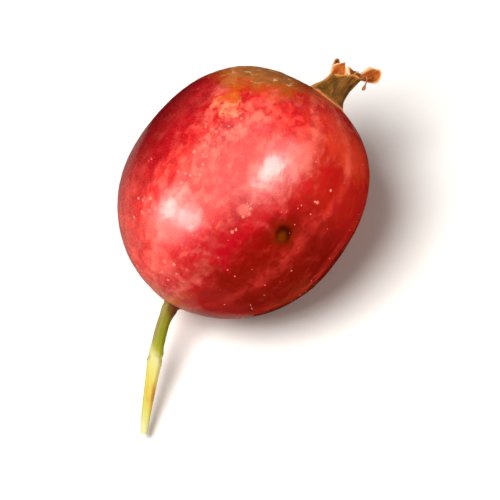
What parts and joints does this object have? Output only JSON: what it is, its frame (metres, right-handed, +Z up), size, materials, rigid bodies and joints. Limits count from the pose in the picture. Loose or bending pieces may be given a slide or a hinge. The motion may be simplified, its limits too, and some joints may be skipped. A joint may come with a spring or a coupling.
{
  "type": "gooseberry",
  "caption": "Ripe red gooseberry lying on its side on a small flat spot, with a bent stalk at one end and its dried flower at the other.",
  "frame": {"origin": "middle of the small flat spot on the berry's belly, on the surface that it rests on", "axes": "+Z up, away from that surface; +X along the berry's axis seen from above, towards the dried flower; +Y to the left of +X"},
  "size_m": [0.0393, 0.0228, 0.023],
  "materials": {
    "berry_skin": "smooth, glossy, translucent berry skin with pale veins",
    "stalk": "soft green to straw-coloured stalk, slightly ridged",
    "dried_flower": "dry, papery, brown and shrivelled"
  },
  "bodies": {
    "root": {"berry": "berry_skin", "stalk": "stalk", "dried_flower": "dried_flower"}
  },
  "joints": []
}
